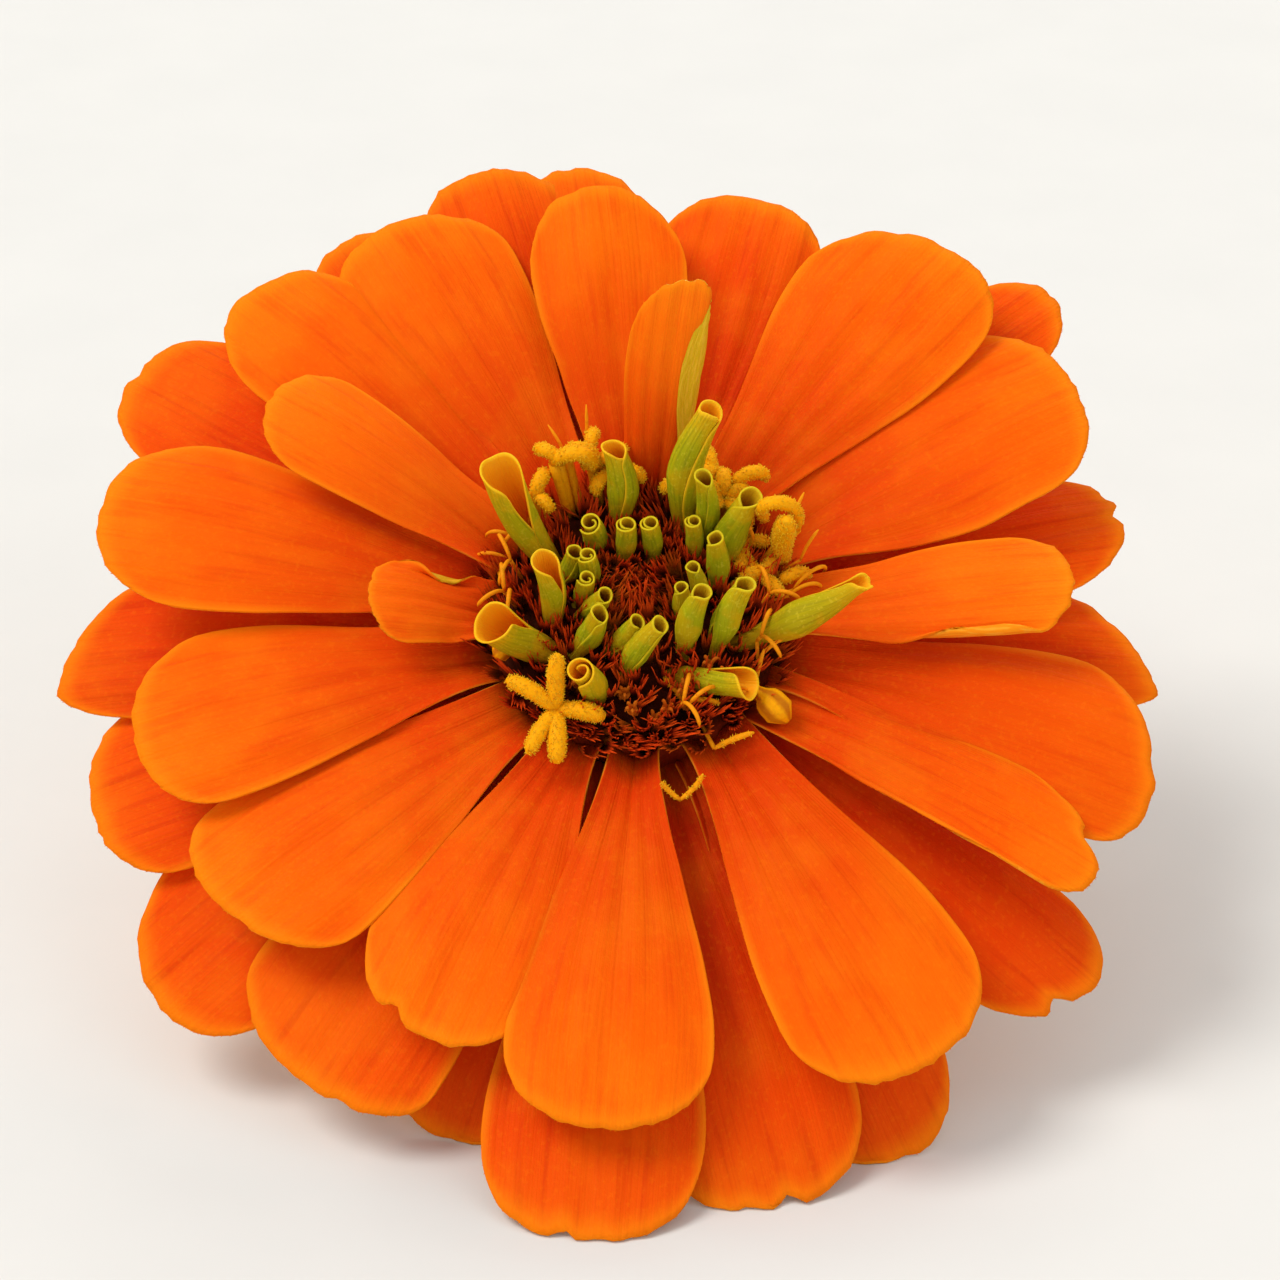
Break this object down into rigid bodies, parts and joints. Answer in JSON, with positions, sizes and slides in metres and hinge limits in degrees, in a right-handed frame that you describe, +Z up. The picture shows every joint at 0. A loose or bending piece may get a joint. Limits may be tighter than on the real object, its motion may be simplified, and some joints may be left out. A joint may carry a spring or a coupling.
{
  "type": "zinnia bloom",
  "caption": "Open double zinnia bloom on a short cut stem, resting tilted on its front petal tips and the stem's end.",
  "frame": {"origin": "on the ground, under the middle of the bloom's bounding box", "axes": "+Z up, +X to the right of a viewer who looks into the bloom, +Y to the back of the bloom; the flower's axis leans 30 degrees from +Z towards -Y"},
  "size_m": [0.0906, 0.0756, 0.0588],
  "materials": {
    "stem_green": "satin",
    "bract_green": "matte",
    "petal_deep_orange": "satin",
    "petal_orange": "satin",
    "petal_light_orange": "satin",
    "floret_yellow": "matte",
    "quill_green": "satin",
    "chaff_red": "matte"
  },
  "bodies": {
    "root": {"stem": "stem_green", "involucre": "bract_green", "outer_rays": "petal_deep_orange", "middle_rays": "petal_orange", "inner_rays": "petal_light_orange", "disc_florets": "floret_yellow", "young_rays": "quill_green", "chaff": "chaff_red"}
  },
  "joints": []
}
